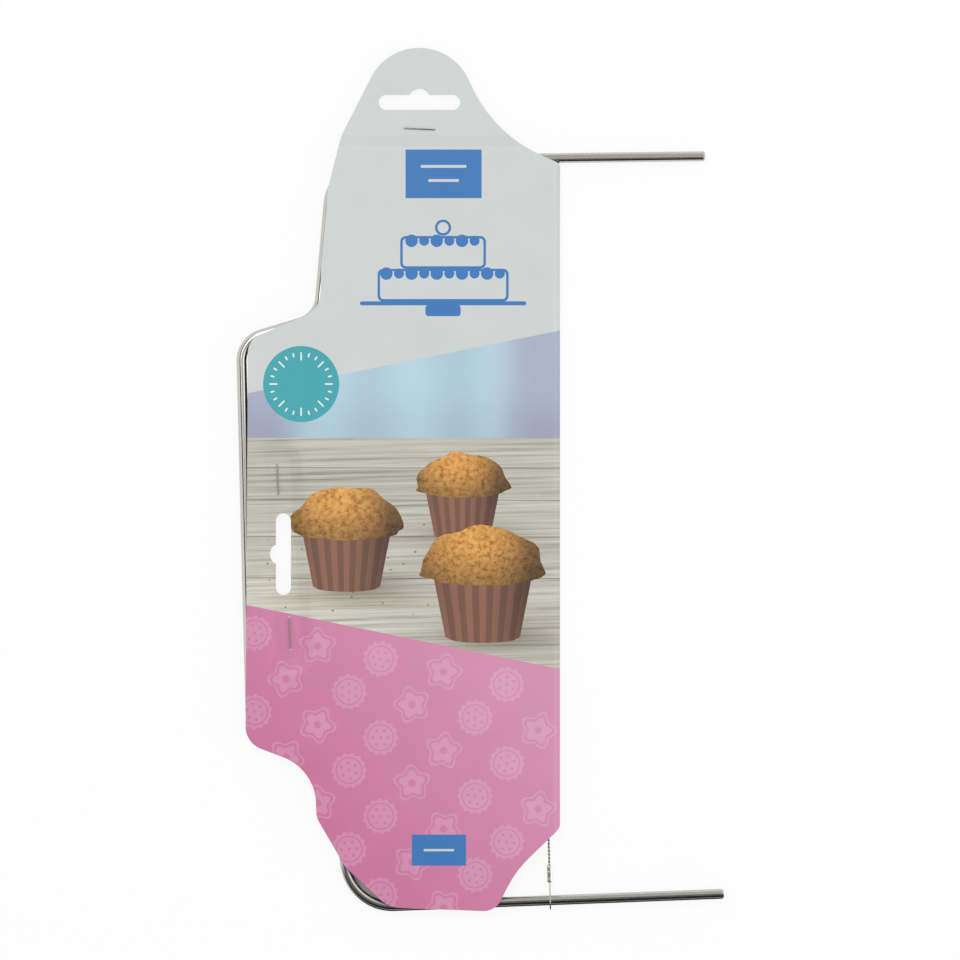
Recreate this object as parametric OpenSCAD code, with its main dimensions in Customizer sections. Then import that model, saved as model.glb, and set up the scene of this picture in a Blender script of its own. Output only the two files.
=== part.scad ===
// Cake leveler: a bent rod arch with a cutting wire across its legs, wrapped in a stapled display card.
// It lies on the card's back face. X runs from the handle to the leg tips, Y across the legs, Z up.
// The origin is on the card's back face, on the centre line, half way between handle and tips.

/* [Rod frame] */
// Width over the two leg corners
frame_w = 300; // [260:5:360]
// Rod diameter
rod_d = 4; // [3.6:0.1:4.4]
// Leg length from the tip to the corner point on the centre line
leg_l = 148; // [130:1:170]
// How far the legs lean in towards each other, in degrees
leg_toe_in = 0.7; // [0.4:0.1:0.9]
// How far each shoulder leans back towards the handle
shoulder_lean = 7; // [4:0.5:10]
// Depth of the grip, from the neck corner points to the outside of the handle
grip_l = 33; // [30:1:40]
// Width between the two necks where they meet the shoulders
neck_w = 173; // [160:1:185]
// Width of the handle between its corner points
handle_w = 156; // [140:1:165]
// Bend radius of the leg corners, on the centre line
leg_corner_r = 19; // [14:1:24]
// Bend radius between shoulder and neck, on the centre line
neck_bend_r = 11; // [8:0.5:12]
// Bend radius of the handle corners, on the centre line
handle_corner_r = 11; // [8:0.5:13]
// Chamfer at the leg tips
tip_chamfer = 0.6; // [0.2:0.1:1]

/* [Grip crossbar] */
// Crossbar diameter
crossbar_d = 3.6; // [3.2:0.1:3.8]
// Place of the crossbar's ends on the neck bends, from 0 at the shoulder to 1 at the handle side
crossbar_place = 0.585; // [0.55:0.005:0.6]
// Radius of the weld metal at each end of the crossbar
weld_r = 2.8; // [2.5:0.1:3.2]
// Length of the weld metal along the crossbar
weld_l = 2.2; // [1.5:0.1:3]

/* [Notches] */
// Distance between two notches along a leg
notch_pitch = 3; // [2.4:0.1:3.4]
// Number of notches on each leg
notch_count = 33; // [28:1:35]
// Distance of the first notch from the tip
notch_lead = 11.9; // [8:0.1:13]
// Depth of a notch
notch_depth = 0.5; // [0.3:0.05:0.8]
// Notch that the wire rests in, counted from the tip
wire_notch = 20; // [18:1:21]

/* [Cutting wire] */
// Diameter of the two twisted strands together
wire_d = 1; // [0.8:0.1:1.4]
// Thickness of the wire that forms the end eyes
eye_wire_d = 0.5; // [0.4:0.05:0.6]
// Inner radius of the round end of each eye
eye_r = 2.45; // [2.4:0.05:2.6]
// Length of an eye from the middle of its round end to the ferrule
eye_l = 7.8; // [7:0.1:10]
// Play between the upper eye and the outside of its leg
upper_play = 0.35; // [0.3:0.05:0.5]
// Play between the lower eye and the outside of its leg
lower_play = 1.15; // [1.1:0.05:1.3]
// Ferrule length
ferrule_l = 6.6; // [5:0.2:8]
// Ferrule width across the wire
ferrule_w = 2; // [1.8:0.1:2.6]
// Ferrule thickness
ferrule_t = 1.5; // [1.4:0.1:2]
// Running gap between the upper eye and its ferrule
swing_gap = 0.05; // [0.03:0.01:0.1]

/* [Display card] */
// Card thickness
card_t = 0.4; // [0.3:0.05:0.6]
// Gap between the eyes and the inside of the card
card_clearance = 0.15; // [0.1:0.05:0.4]
// Half the gap between the two panels where the staples pinch them
pinch_gap = 0.05; // [0.02:0.01:0.1]
// Turn of the card on the leveler, in degrees
card_skew = 1.45; // [1.2:0.05:1.6]
// Distance of the folded edge beyond the wire
fold_reach = 7.6; // [7.4:0.1:9]
// Half width of the flat bottom of the pinched trough
trough_flat = 4; // [3.5:0.1:4.5]
// Gap between the rim of the pinched trough and the rods on either side of it
trough_gap = 1.85; // [1.5:0.05:2.5]
// Length of the slope where the hanging tab is pinched flat
tab_slope = 6.5; // [5:0.5:7]

/* [Hang slots] */
// Length of a hang slot
slot_l = 32.4; // [30:0.2:36]
// Width of a hang slot
slot_w = 6; // [5:0.2:6.6]
// Width of the round peg notch in the middle of a slot
slot_notch_w = 8.4; // [7:0.2:10]
// How far the peg notch reaches beyond the slot
slot_notch_h = 2.4; // [2:0.1:3]
// Distance of the top slot beyond the leg corners
top_slot_gap = 20.1; // [18:0.1:24]
// Distance of the side slot below the centre line
side_slot_drop = 9.2; // [7:0.1:11]

/* [Staples] */
// Distance of the top staple beyond the leg corners
staple_gap = 9.5; // [9:0.1:12]
// Distance of the upper side staple above the centre line
staple_rise = 20.5; // [17:0.5:26]
// Distance of the lower side staple below the centre line
staple_drop = 40.6; // [37:0.2:46]
// Staple wire thickness
staple_d = 0.5; // [0.4:0.05:0.6]
// Staple crown length between the legs
staple_crown = 12.5; // [11:0.5:13]
// Length of each clinched tail
staple_tail = 4; // [3:0.25:5]
// Bend radius of the staple wire, on the centre line
staple_bend_r = 0.45; // [0.4:0.05:0.55]
// Free play of the staple wire in its holes
staple_play = 0.1; // [0.05:0.01:0.2]

/* [Hidden] */
$fn = 48;
arc_step = 8;
overcut = 1;
bend_lap = 0.5;
bend_share = 0.995;

rod_r = rod_d / 2;
eye_out = eye_r + eye_wire_d;
card_in = eye_out + card_clearance;
card_out = card_in + card_t;
pinch_out = pinch_gap + card_t;

// Corner points of the rod's centre line, upper half, from the leg tip to the handle
frame_l = leg_l + shoulder_lean + grip_l;
tip_x = frame_l / 2;
leg_corner_x = tip_x - leg_l;
leg_corner_y = frame_w / 2 - rod_r + leg_corner_r * sin(leg_toe_in);
tip_y = leg_corner_y - leg_l * tan(leg_toe_in);
neck_x = leg_corner_x - shoulder_lean;
handle_x = -frame_l / 2 + rod_r;
upper_half = [[tip_x, tip_y], [leg_corner_x, leg_corner_y], [neck_x, neck_w / 2], [handle_x, handle_w / 2]];
rod_points = concat(upper_half, [for (i = [3:-1:0]) [upper_half[i].x, -upper_half[i].y]]);
rod_radii = [leg_corner_r, neck_bend_r, handle_corner_r, handle_corner_r, neck_bend_r, leg_corner_r];
rod_turns = [for (i = [1:len(rod_radii)]) turn(rod_points[i - 1], rod_points[i], rod_points[i + 1])];
rod_trims = concat([0], [for (i = [0:len(rod_radii) - 1]) trim(rod_radii[i], rod_turns[i])], [0]);
rod_runs = [for (i = [0:len(rod_radii)]) norm(rod_points[i + 1] - rod_points[i]) - rod_trims[i] - rod_trims[i + 1]];

// The crossbar ends on the centre line of the neck bends
neck_turn = rod_turns[1];
neck_in = heading(rod_points[1], rod_points[2]);
neck_start = rod_points[2] - rod_trims[2] * along(neck_in);
neck_centre = neck_start - neck_bend_r * along(neck_in + 90);
crossbar_end = neck_centre + neck_bend_r * along(neck_in + 90 + crossbar_place * neck_turn);
crossbar_x = crossbar_end.x;
crossbar_y = crossbar_end.y;

// Places along the wire, measured from the centre line of the leveler
wire_leg = notch_lead + (wire_notch - 1) * notch_pitch;
wire_x = tip_x - wire_leg * cos(leg_toe_in);
leg_y = tip_y + wire_leg * sin(leg_toe_in);
upper_eye_y = leg_y + rod_r + upper_play - eye_r;
lower_eye_y = -(leg_y + rod_r + lower_play - eye_r);
upper_mouth_y = upper_eye_y - eye_l;
lower_mouth_y = lower_eye_y + eye_l;
upper_wire_y = upper_mouth_y - swing_gap - ferrule_l;
lower_wire_y = lower_mouth_y + ferrule_l;

// The card's landmarks: its folded edge, the middle of the grip and the outside of the leg corners
fold_x = wire_x + fold_reach;
grip_x = (crossbar_x + handle_x) / 2;
trough_rim = (crossbar_x - handle_x - crossbar_d / 2 - rod_r) / 2 - trough_gap;
side_y = frame_w / 2;
tab_x = fold_x - 55.8;
tab_y = side_y + 1.5;

// Corner points of the card as [x, y, corner radius], anticlockwise from the foot of the fold
card_corners = [
    [fold_x, -side_y + 32.4, 3], [fold_x, side_y - 4.3, 2.5], [tab_x + 29.8, side_y + 7.3, 56],
    [tab_x + 0.7, side_y + 69.1, 21.5], [tab_x - 31, side_y + 6.9, 18.5], [neck_x + 1.7, side_y - 13.8, 16],
    [neck_x - 1.1, neck_w / 2 + 18.5, 30], [neck_x - 1.7, neck_w / 2 + 1.1, 10],
    [handle_x + 0.9, handle_w / 2 - 1.9, 8], [handle_x - 0.1, -handle_w / 2 - 6.1, 9.5],
    [neck_x - 3.5, -neck_w / 2 - 8.1, 20], [neck_x - 3, -neck_w / 2 - 27.1, 8.5],
    [neck_x + 8.5, -side_y + 16.7, 10.5], [tab_x - 12.1, -side_y + 0.7, 12],
    [tab_x + 30.1, -side_y - 0.9, 7.8], [tab_x + 38, -side_y + 14.9, 45]
];

// The back panel has the same corners, but reaches on under the rod at the lower leg's bend
back_corners = concat(
    [for (i = [0:11]) card_corners[i]],
    [[neck_x + 7.4, -side_y + 18.7, 3], [neck_x + 9, -side_y + 11.6, 10], [tab_x - 12.5, -side_y + 0.4, 12]],
    [for (i = [14:15]) card_corners[i]]
);
card_top = side_y + 80;
card_edge = frame_l;

// Staple centres as [x, y, angle of the crown], and the ends of the trough that two of them lie in
staple_places = [[tab_x, side_y + staple_gap, -2.5], [grip_x - 1.55, staple_rise, 92.5],
                 [grip_x + 3.25, -staple_drop, 92.5]];
trough_top = [grip_x - 1.55, staple_rise + staple_crown / 2];
trough_foot = [grip_x + 3.25, -staple_drop - staple_crown / 2];
top_slot = [tab_x, side_y + top_slot_gap, 0];
side_slot = [grip_x + 0.65, -side_slot_drop, 90];

function along(a) = [cos(a), sin(a)];
function heading(a, b) = atan2(b.y - a.y, b.x - a.x);
function wrap(a) = a > 180 ? a - 360 : a < -180 ? a + 360 : a;
function turn(a, b, c) = wrap(heading(b, c) - heading(a, b));
function trim(r, t) = r * tan(abs(t) / 2);

// Points of the arc that rounds corner b between a and c
function corner_arc(a, b, c, r) =
    let (t = turn(a, b, c), side = sign(t), h = heading(a, b),
         start = [b.x, b.y] - trim(r, t) * along(h),
         centre = start + side * r * along(h + 90),
         steps = max(2, ceil(abs(t) / arc_step)))
    [for (k = [0:steps]) centre - side * r * along(h + 90 + t * k / steps)];

function rounded(c) =
    [for (i = [0:len(c) - 1])
        each corner_arc(c[(i + len(c) - 1) % len(c)], c[i], c[(i + 1) % len(c)], c[i][2])];

module from_mid() {
    translate([0, 0, card_out]) children();
}

// A straight run of round rod from the origin along +X, with a chamfer at either end
module rod_run(length, d, start_chamfer = 0, end_chamfer = 0) {
    r = d / 2;
    rotate([0, 90, 0]) rotate_extrude()
        polygon(concat([[0, 0]],
            start_chamfer > 0 ? [[r - start_chamfer, 0], [r, start_chamfer]] : [[r, 0]],
            end_chamfer > 0 ? [[r, length - end_chamfer], [r - end_chamfer, length]] : [[r, length]],
            [[0, length]]));
}

// A bend that starts at the origin along +X and turns left by t degrees, or right if t is negative.
// Its tube is a hair thinner than the runs and laps into them, so that all of them join into one solid
module rod_bend(r, t, d) {
    translate([0, sign(t) * r, 0]) rotate((t > 0 ? -90 : 90 + t) - bend_lap)
        rotate_extrude(angle = abs(t) + 2 * bend_lap) translate([r, 0]) circle(d = d * bend_share);
}

module after_bend(r, t) {
    translate([0, sign(t) * r, 0]) rotate(t) translate([0, -sign(t) * r, 0]) children();
}

// A bent rod in the XY plane: each run is followed by its bend, and the next run starts where that ends
module bent_rod(runs, turns, radii, d, chamfer = 0, i = 0) {
    last = len(runs) - 1;
    rod_run(runs[i], d, i == 0 ? chamfer : 0, i == last ? chamfer : 0);
    if (i < last) translate([runs[i], 0, 0]) {
        rod_bend(radii[i], turns[i], d);
        after_bend(radii[i], turns[i]) bent_rod(runs, turns, radii, d, chamfer, i + 1);
    }
}

// The rod's own bend between a shoulder and its neck, on either side
module neck_bends() {
    for (side = [-1, 1])
        translate([neck_centre.x, side * neck_centre.y, 0]) rotate(side > 0 ? neck_in + 90 + neck_turn : -neck_in - 90)
            rotate_extrude(angle = -neck_turn) translate([neck_bend_r, 0]) circle(d = rod_d);
}

module leg_place(side, distance) {
    translate([tip_x - distance * cos(leg_toe_in), side * (tip_y + distance * sin(leg_toe_in)), 0])
        rotate(-side * leg_toe_in) children();
}

module frame_rod() {
    color("silver") from_mid() difference() {
        leg_place(1, 0) rotate(180)
            bent_rod(rod_runs, rod_turns, rod_radii, rod_d, tip_chamfer);
        for (side = [-1, 1], i = [0:notch_count - 1])
            leg_place(side, notch_lead + i * notch_pitch)
                translate([0, 0, -rod_r])
                    rotate([90, 0, 0]) cylinder(r = notch_depth, h = rod_d + overcut, center = true);
    }
}

module crossbar_bar() {
    translate([crossbar_x, 0, 0]) rotate([90, 0, 0])
        cylinder(d = crossbar_d, h = 2 * crossbar_y, center = true);
}

module grip_crossbar() {
    color("silver") from_mid() difference() {
        crossbar_bar();
        neck_bends();
    }
}

// A collar of weld metal round each end of the crossbar, run up against the neck bend
module weld_beads() {
    bar_r = crossbar_d / 2;
    foot = crossbar_y - rod_r - weld_l;
    color("gray") from_mid() for (side = [-1, 1])
        difference() {
            translate([crossbar_x, 0, 0]) rotate([-side * 90, 0, 0]) rotate_extrude()
                polygon([[bar_r, foot], [(bar_r + weld_r) / 2, foot + weld_l / 4], [weld_r, foot + weld_l],
                         [weld_r, crossbar_y - rod_r / 2], [bar_r, crossbar_y - rod_r / 4]]);
            neck_bends();
        }
}

module cutting_wire() {
    color("lightgray") from_mid()
        translate([wire_x, lower_wire_y, 0])
            rotate([-90, 0, 0]) cylinder(d = wire_d, h = upper_wire_y - lower_wire_y);
}

// A teardrop of thin wire in the YZ plane: its round end is at the origin and its mouth at +Y
module eye() {
    ring = eye_r + eye_wire_d / 2;
    spread = asin(ring / eye_l);
    run = eye_l * cos(spread);
    rotate([0, 90, 0]) {
        rotate(180 - spread - bend_lap) rotate_extrude(angle = 180 + 2 * (spread + bend_lap))
            translate([ring, 0]) circle(d = eye_wire_d * bend_share);
        difference() {
            for (side = [-1, 1])
                translate(side * ring * along(side * spread))
                    rotate([0, 90, 90 + side * spread]) cylinder(d = eye_wire_d, h = run + eye_wire_d);
            translate([-eye_l, eye_l, -eye_l]) cube(2 * eye_l);
        }
    }
}

module upper_eye() {
    color("lightgray") from_mid() translate([wire_x, upper_eye_y, 0]) mirror([0, 1, 0]) eye();
}

module lower_eye() {
    color("lightgray") from_mid() translate([wire_x, lower_eye_y, 0]) eye();
}

// A crimped sleeve with round sides, from the origin along +Y
module ferrule() {
    rotate([-90, 0, 0]) linear_extrude(ferrule_l) {
        square([ferrule_w - ferrule_t, ferrule_t], center = true);
        for (side = [-1, 1])
            translate([side * (ferrule_w - ferrule_t) / 2, 0]) circle(d = ferrule_t);
    }
}

module upper_ferrule() {
    color("darkgray") from_mid() translate([wire_x, upper_wire_y, 0]) ferrule();
}

module lower_ferrule() {
    color("darkgray") from_mid() translate([wire_x, lower_mouth_y, 0]) ferrule();
}

module on_card() {
    rotate(-card_skew) children();
}

// The space above a panel where the staples pull it in, raised by lift
module pinched_space(lift) {
    depth = card_in - pinch_gap;
    run = norm(trough_top - trough_foot);
    translate([0, 0, pinch_gap + lift]) {
        translate(trough_foot) rotate(heading(trough_foot, trough_top)) intersection() {
            translate([-trough_rim, 0, 0]) rotate([90, 0, 90])
                linear_extrude(run + 2 * trough_rim) trough_profile(0, depth);
            translate([0, trough_rim, 0]) rotate([90, 0, 0])
                linear_extrude(2 * trough_rim) trough_profile(run, depth);
        }
        translate([-card_edge, 0, 0]) rotate([90, 0, 90]) linear_extrude(2 * card_edge)
            polygon([[tab_y, depth], [tab_y + tab_slope, 0], [card_top, 0],
                     [card_top, depth + overcut], [tab_y, depth + overcut]]);
    }
}

// The trough's flat floor from 0 to run and its sloping sides, as seen along it or across it
module trough_profile(run, depth) {
    polygon([[-trough_flat, 0], [run + trough_flat, 0], [run + trough_rim, depth],
             [run + trough_rim, depth + overcut], [-trough_rim, depth + overcut], [-trough_rim, depth]]);
}

module panel() {
    difference() {
        translate([fold_x - card_out, -card_top, 0]) mirror([1, 0, 0])
            cube([card_edge, 2 * card_top, card_out]);
        pinched_space(card_t);
        difference() {
            translate([-2 * card_edge, -2 * card_top, -overcut])
                cube([4 * card_edge, 4 * card_top, card_in + overcut]);
            pinched_space(0);
        }
    }
}

module spine() {
    translate([fold_x - card_out, card_top, 0]) rotate([90, 0, 0]) linear_extrude(2 * card_top)
        intersection() {
            difference() {
                circle(r = card_out);
                circle(r = card_in);
            }
            translate([0, -card_out]) square([card_out, 2 * card_out]);
        }
}

module hang_slot(place) {
    translate([place.x, place.y, -card_out - overcut]) rotate(place[2])
        linear_extrude(2 * (card_out + overcut)) {
            square([slot_l - slot_w, slot_w], center = true);
            for (side = [-1, 1]) translate([side * (slot_l - slot_w) / 2, 0]) circle(d = slot_w);
            translate([0, slot_w / 2 + slot_notch_h - slot_notch_w / 2]) circle(d = slot_notch_w);
        }
}

module staple_holes() {
    hole = staple_d + 2 * staple_play;
    for (p = staple_places) translate([p.x, p.y, 0]) rotate(p[2]) for (side = [-1, 1])
        translate([side * staple_crown / 2, 0, 0]) cube([hole, hole, 2 * card_out], center = true);
}

module display_card() {
    color("white") from_mid() on_card() difference() {
        intersection() {
            union() {
                translate([0, 0, -card_out]) linear_extrude(2 * card_out) polygon(rounded(card_corners));
                translate([0, 0, -card_out]) linear_extrude(card_out) polygon(rounded(back_corners));
            }
            union() {
                panel();
                mirror([0, 0, 1]) panel();
                spine();
            }
        }
        hang_slot(top_slot);
        hang_slot(side_slot);
        staple_holes();
    }
}

// One staple: crown on the front, clinched tails behind
module staple() {
    rise = 2 * pinch_out + staple_d + staple_play;
    run = rise - 2 * staple_bend_r;
    tail = staple_tail - staple_bend_r;
    turns = [90, 90, 90, 90];
    radii = [for (t = turns) staple_bend_r];
    translate([staple_crown / 2 - staple_tail, 0, -rise / 2]) rotate([90, 0, 0])
        bent_rod([tail, run, staple_crown - 2 * staple_bend_r, run, tail], turns, radii, staple_d);
}

module staples() {
    color("silver") from_mid() on_card()
        for (p = staple_places) translate([p.x, p.y, 0]) rotate(p[2]) staple();
}

frame_rod();
grip_crossbar();
weld_beads();
cutting_wire();
upper_eye();
lower_eye();
upper_ferrule();
lower_ferrule();
display_card();
staples();
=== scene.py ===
"""Cake leveler of bent steel rod, wrapped in its folded and stapled display card, lying on its back."""
import math
import random

import bmesh
import bpy
import numpy as np
from mathutils import Matrix, Vector, geometry


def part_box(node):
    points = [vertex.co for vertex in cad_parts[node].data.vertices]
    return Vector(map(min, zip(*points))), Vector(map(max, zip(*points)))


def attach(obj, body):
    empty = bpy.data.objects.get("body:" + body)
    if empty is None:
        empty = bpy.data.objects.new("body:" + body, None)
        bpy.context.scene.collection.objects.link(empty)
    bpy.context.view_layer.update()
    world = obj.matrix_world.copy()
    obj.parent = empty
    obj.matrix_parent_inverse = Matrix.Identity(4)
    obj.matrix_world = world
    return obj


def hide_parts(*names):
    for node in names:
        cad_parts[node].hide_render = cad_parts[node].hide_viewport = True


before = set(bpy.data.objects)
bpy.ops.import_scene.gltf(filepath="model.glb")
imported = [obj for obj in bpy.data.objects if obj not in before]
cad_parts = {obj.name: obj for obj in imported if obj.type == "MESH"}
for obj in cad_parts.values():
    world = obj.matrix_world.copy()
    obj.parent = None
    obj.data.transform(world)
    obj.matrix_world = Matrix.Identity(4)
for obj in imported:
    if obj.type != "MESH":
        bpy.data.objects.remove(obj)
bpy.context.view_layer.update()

bl_info = {
    "name": "Cake leveler on a display card",
    "version": (1, 0, 0),
    "blender": (4, 5, 0),
    "location": "View3D > Sidebar > Leveler",
    "description": "Builds the visible pieces of a wire cake leveler and its printed card",
    "category": "Object",
}

MM = 0.001
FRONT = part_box("display_card")[1].z
MID_Z = FRONT / 2
ROD_LOW, ROD_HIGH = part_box("frame_rod")
ROD_R = (ROD_HIGH.z - ROD_LOW.z) / 2
UP = Vector((0, 0, 1))
STAPLE_CROWN = 12.5


def length(name, description, size_mm):
    return bpy.props.FloatProperty(name=name, description=description, default=size_mm * MM, unit="LENGTH")


def linear(hex_code):
    """An sRGB hex colour as linear RGBA."""
    parts = [int(hex_code[i:i + 2], 16) / 255 for i in (1, 3, 5)]
    return [c / 12.92 if c <= 0.04045 else ((c + 0.055) / 1.055) ** 2.4 for c in parts] + [1.0]


def ink(name, description, hex_code):
    return bpy.props.FloatVectorProperty(name=name, description=description, default=linear(hex_code)[:3],
                                         min=0, max=1, subtype="COLOR")


class LevelerSizes(bpy.types.PropertyGroup):
    # the rods and welds
    leg_l: length("Leg length", "From a leg's tip to its corner point", 148)
    leg_toe_in: bpy.props.FloatProperty(name="Toe-in", description="Lean of each leg towards the other",
                                        default=math.radians(0.7), subtype="ANGLE")
    shoulder_lean: length("Shoulder lean", "How far each shoulder leans back towards the handle", 7)
    neck_w: length("Neck width", "Between the two corner points of the necks", 173)
    handle_w: length("Handle width", "Between the two corner points of the handle", 156)
    leg_corner_r: length("Leg corner radius", "On the rod's centre line", 19)
    neck_bend_r: length("Neck bend radius", "On the rod's centre line", 11)
    handle_corner_r: length("Handle corner radius", "On the rod's centre line", 11)
    tip_chamfer: length("Tip chamfer", "Chamfer at the leg tips", 0.6)
    notch_pitch: length("Notch pitch", "Distance between two notches", 3)
    notch_count: bpy.props.IntProperty(name="Notches", description="Notches on each leg", default=33)
    notch_lead: length("First notch", "Distance of the first notch from the tip", 11.9)
    notch_r: length("Notch radius", "Radius and depth of a notch", 0.5)
    steel: ink("Steel", "Reflection colour of the polished rod", "#c8c6c2")
    weld: ink("Weld", "Colour of the weld metal", "#8d8983")
    # the wire, its ends and the staples
    strand_d: length("Strand thickness", "Diameter of one strand", 0.48)
    twist_pitch: length("Twist pitch", "Length of one full turn of the twisted pair", 2.9)
    eye_wire_d: length("Eye wire", "Diameter of the wire of the end eyes", 0.5)
    wire: ink("Wire", "Reflection colour of the drawn wire", "#bcb9b1")
    ferrule: ink("Ferrule", "Reflection colour of the crimped sleeves", "#dcdad5")
    staple: ink("Staple", "Reflection colour of the staple wire", "#9c9b98")
    # the card and its print
    thickness: length("Board thickness", "Thickness of the folded board", 0.4)
    pinch_gap: length("Pinch gap", "Half the gap between the panels at a staple", 0.05)
    skew: bpy.props.FloatProperty(name="Skew", description="Turn of the card on the leveler",
                                  default=math.radians(1.45), subtype="ANGLE")
    wave: length("Wave", "How far the panels dip between the rods", 0.35)
    settle: length("Settling", "How far the front panel settles on the rods of the grip", 0.95)
    board: ink("Board", "Uncoated inside of the board", "#e6e4de")
    pale: ink("Pale print", "Main colour of the upper part", "#cfd4d3")
    pink: ink("Pink print", "Ground of the lower part", "#cb6f9b")
    blue: ink("Blue print", "Labels and line drawing", "#3577ba")
    teal: ink("Teal print", "Round label", "#3ca7af")
    planks: ink("Planks", "Wooden table in the picture", "#d2d1c7")
    backdrop: ink("Backdrop", "Wall in the picture", "#b4d0de")
    crust: ink("Crust", "Baked tops in the picture", "#c99a54")
    cup: ink("Cup", "Paper cups in the picture", "#6f4b3b")


def shaded(colour, share=1.0):
    """A linear colour as RGBA, lighter or darker by a share."""
    return [min(1.0, c * share) for c in colour[:3]] + [1.0]


def add_node(tree, kind, inputs=None, **settings):
    """Adds a node with its settings. An input takes a value, a socket, or a node for its first output."""
    made = tree.nodes.new(kind)
    for key, value in settings.items():
        setattr(made, key, value)
    for key, value in (inputs or {}).items():
        if isinstance(value, bpy.types.Node):
            value = value.outputs[0]
        if isinstance(value, bpy.types.NodeSocket):
            tree.links.new(value, made.inputs[key])
        else:
            made.inputs[key].default_value = value
    return made


def ramp_stops(ramp, stops):
    """Sets a colour ramp's stops, given as (place, linear colour)."""
    band = ramp.color_ramp
    while len(band.elements) < len(stops):
        band.elements.new(0.5)
    for element, (place, colour) in zip(band.elements, stops):
        element.position = place
        element.color = colour
    return ramp


def new_material(name, **constants):
    """A material whose principled shader has these constant inputs. Returns it and its node tree."""
    material = bpy.data.materials.new(name)
    material.use_nodes = True
    tree = material.node_tree
    for key, value in constants.items():
        tree.nodes["Principled BSDF"].inputs[key.replace("_", " ")].default_value = value
    return material, tree


def with_surface(material, pattern, low, high, tooth, height, strength, colour=None):
    """Gives a shader its roughness, between two values by a pattern, its bump and any patterned colour."""
    tree = material.node_tree
    shader = tree.nodes["Principled BSDF"]
    rough = add_node(tree, "ShaderNodeMapRange",
                     {"Value": pattern, "From Min": 0.35, "From Max": 0.7, "To Min": low, "To Max": high})
    bump = add_node(tree, "ShaderNodeBump", {"Height": tooth, "Distance": height, "Strength": strength})
    tree.links.new(rough.outputs["Result"], shader.inputs["Roughness"])
    tree.links.new(bump.outputs["Normal"], shader.inputs["Normal"])
    if colour:
        tree.links.new(colour, shader.inputs["Base Color"])
    return material


def polished_stainless(name, colour):
    """304 rod, centreless ground and buffed: a near mirror whose bands show the room, with rub marks."""
    material, tree = new_material(name, Metallic=1.0, Base_Color=shaded(colour))
    place = add_node(tree, "ShaderNodeTexCoord").outputs["Object"]
    marks = add_node(tree, "ShaderNodeTexNoise",
                     {"Vector": place, "Scale": 160.0, "Detail": 5.0, "Roughness": 0.7})
    grain = add_node(tree, "ShaderNodeTexNoise", {"Vector": place, "Scale": 2600.0, "Detail": 2.0})
    return with_surface(material, marks, 0.05, 0.15, grain, 0.004 * MM, 0.25)


def drawn_wire(name, colour, roughness):
    """Drawn stainless or galvanised wire: metal with a soft shine and fine streaks from the die."""
    material, tree = new_material(name, Metallic=1.0, Base_Color=shaded(colour))
    place = add_node(tree, "ShaderNodeTexCoord").outputs["Object"]
    streaks = add_node(tree, "ShaderNodeTexNoise", {"Vector": place, "Scale": 900.0, "Detail": 3.0})
    return with_surface(material, streaks, roughness * 0.7, roughness * 1.3, streaks, 0.01 * MM, 0.4)


def weld_metal(name, colour):
    """Fused steel, left as welded: dull, rippled and slightly heat-tinted."""
    material, tree = new_material(name, Metallic=1.0)
    place = add_node(tree, "ShaderNodeTexCoord").outputs["Object"]
    ripple = add_node(tree, "ShaderNodeTexNoise", {"Vector": place, "Scale": 700.0, "Detail": 4.0})
    tint = ramp_stops(add_node(tree, "ShaderNodeValToRGB", {"Fac": ripple}),
                      [(0.3, shaded(colour, 0.7)), (0.7, shaded(colour))])
    return with_surface(material, ripple, 0.34, 0.5, ripple, 0.12 * MM, 0.7, tint.outputs["Color"])


def printed_board(name):
    """Offset print on coated board: satin, with a faint mottle and the board's fine tooth under the coating.

    Attribute ink is the printed colour. Attribute grain says, in its red and green, how much of a printed
    wood grain or baked crumb lies over it.
    """
    material, tree = new_material(name)
    place = add_node(tree, "ShaderNodeTexCoord").outputs["Object"]
    colour = add_node(tree, "ShaderNodeAttribute", attribute_name="ink").outputs["Color"]
    kind = add_node(tree, "ShaderNodeAttribute", attribute_name="grain").outputs["Color"]
    share = add_node(tree, "ShaderNodeSeparateColor", {"Color": kind}).outputs

    # wood grain: streaks along the picture, about 1 mm apart, between broader pale and dark boards
    along = add_node(tree, "ShaderNodeMapping", {"Vector": place, "Scale": (11.0, 800.0, 1.0)})
    streaks = add_node(tree, "ShaderNodeTexNoise",
                       {"Vector": along, "Scale": 1.0, "Detail": 7.0, "Roughness": 0.66})
    wood = ramp_stops(add_node(tree, "ShaderNodeValToRGB", {"Fac": streaks}),
                      [(0.3, linear("#b2ad9f")), (0.46, linear("#e6e3dc")), (0.62, linear("#ffffff"))])
    # baked crumb: brown specks about 1 mm across
    crumb = add_node(tree, "ShaderNodeTexNoise",
                     {"Vector": place, "Scale": 560.0, "Detail": 5.0, "Roughness": 0.7})
    baked = ramp_stops(add_node(tree, "ShaderNodeValToRGB", {"Fac": crumb}),
                       [(0.34, linear("#b0875a")), (0.5, linear("#ecdcc0")), (0.66, linear("#ffffff"))])
    cloud = add_node(tree, "ShaderNodeTexNoise", {"Vector": place, "Scale": 60.0, "Detail": 3.0})
    mottle = ramp_stops(add_node(tree, "ShaderNodeValToRGB", {"Fac": cloud}),
                        [(0.3, linear("#fbfbfb")), (0.7, linear("#ffffff"))])
    for amount, pattern in ((share["Red"], wood), (share["Green"], baked), (1.0, mottle)):
        colour = add_node(tree, "ShaderNodeMix", {0: amount, 6: colour, 7: pattern},
                          data_type="RGBA", blend_type="MULTIPLY").outputs[2]
    tooth = add_node(tree, "ShaderNodeTexNoise", {"Vector": place, "Scale": 1500.0, "Detail": 4.0})
    return with_surface(material, cloud, 0.4, 0.46, tooth, 0.012 * MM, 0.35, colour)


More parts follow.
